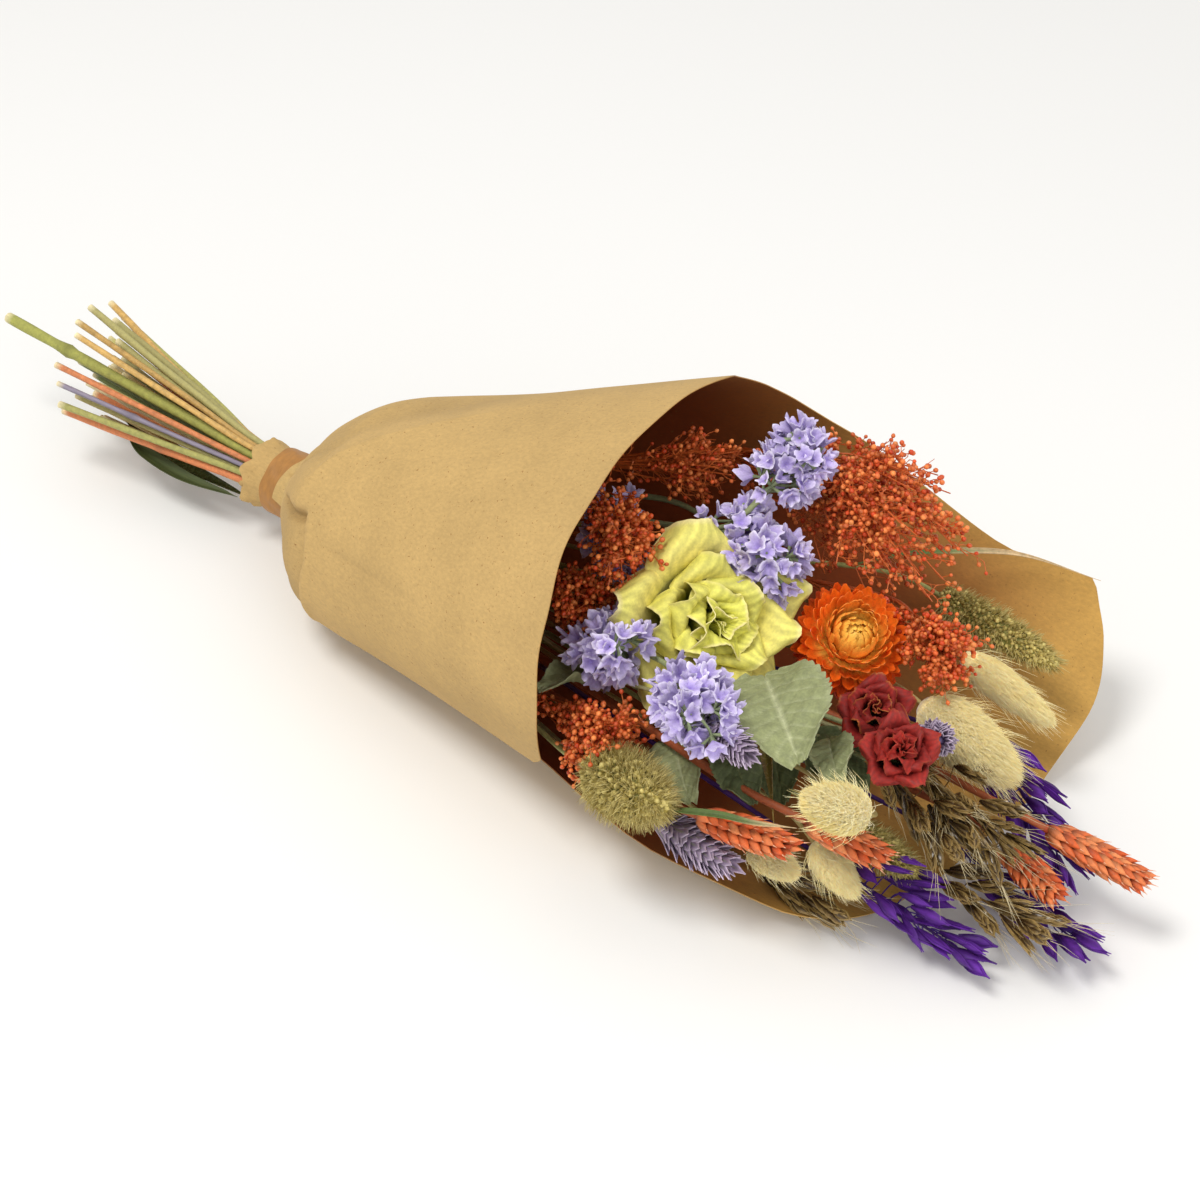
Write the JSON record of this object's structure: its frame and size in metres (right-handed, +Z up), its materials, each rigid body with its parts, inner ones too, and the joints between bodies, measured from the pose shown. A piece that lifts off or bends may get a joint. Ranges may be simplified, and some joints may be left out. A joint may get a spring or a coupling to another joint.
{
  "type": "dried flower bouquet",
  "caption": "Bouquet of dried flowers and grasses in a rolled kraft paper wrap taped at the neck, lying on its side with its stems fanned out.",
  "frame": {"origin": "on the surface it lies on, under the middle of its bounding box", "axes": "+X along the bouquet towards the flower heads, +Y across it to the far side, +Z up"},
  "size_m": [0.5594, 0.208, 0.1431],
  "materials": {
    "kraft_paper": "matt brown kraft paper with fine flecks",
    "neck_tape": "orange-brown paper tape",
    "rose_petals": "dried yellow-green petals, matt",
    "strawflower_bracts": "papery orange bracts, satin",
    "red_rose_petals": "dried dark red petals, matt",
    "green_leaf": "dried grey-green leaf and stem, matt",
    "straw_stem": "dry straw, matt",
    "bunny_tail_hair": "soft cream hair",
    "foxtail_seed": "green millet seed with bristles",
    "canary_grass_scales": "lilac dyed scales with pale edges",
    "painted_wheat": "orange painted ears and stems",
    "purple_oat": "deep purple dyed spikelets",
    "brown_brome": "glossy bronze-brown spikelets",
    "lilac_statice": "papery lilac florets on green twigs",
    "orange_broom": "orange-red round buds on fine twigs"
  },
  "bodies": {
    "root": {"brome_1": "brown_brome", "brome_2": "brown_brome", "brome_3": "brown_brome", "brome_4": "brown_brome", "broom_1": "orange_broom", "broom_2": "orange_broom", "broom_3": "orange_broom", "broom_4": "orange_broom", "broom_5": "orange_broom", "broom_6": "orange_broom", "bunny_tail_1": "bunny_tail_hair", "bunny_tail_2": "bunny_tail_hair", "bunny_tail_3": "bunny_tail_hair", "bunny_tail_4": "bunny_tail_hair", "bunny_tail_5": "bunny_tail_hair", "bunny_tail_stem_1": "straw_stem", "bunny_tail_stem_2": "straw_stem", "bunny_tail_stem_3": "straw_stem", "bunny_tail_stem_4": "straw_stem", "bunny_tail_stem_5": "straw_stem", "canary_grass_1": "canary_grass_scales", "canary_grass_2": "canary_grass_scales", "canary_grass_3": "canary_grass_scales", "canary_grass_stem_1": "straw_stem", "canary_grass_stem_2": "straw_stem", "canary_grass_stem_3": "straw_stem", "foxtail_1": "foxtail_seed", "foxtail_2": "foxtail_seed", "foxtail_3": "foxtail_seed", "leaf_spray": "green_leaf", "neck_tape": "neck_tape", "oat_1": "purple_oat", "oat_2": "purple_oat", "oat_3": "purple_oat", "paper_wrap": "kraft_paper", "red_rose_bloom_1": "red_rose_petals", "red_rose_bloom_2": "red_rose_petals", "red_rose_stem_1": "green_leaf", "red_rose_stem_2": "green_leaf", "rose_bloom": "rose_petals", "rose_stem": "green_leaf", "statice_1": "lilac_statice", "statice_2": "lilac_statice", "statice_3": "lilac_statice", "statice_4": "lilac_statice", "statice_5": "lilac_statice", "strawflower_bloom": "strawflower_bracts", "strawflower_stem": "straw_stem", "wheat_1": "painted_wheat", "wheat_2": "painted_wheat", "wheat_3": "painted_wheat", "wheat_4": "painted_wheat"}
  },
  "joints": []
}
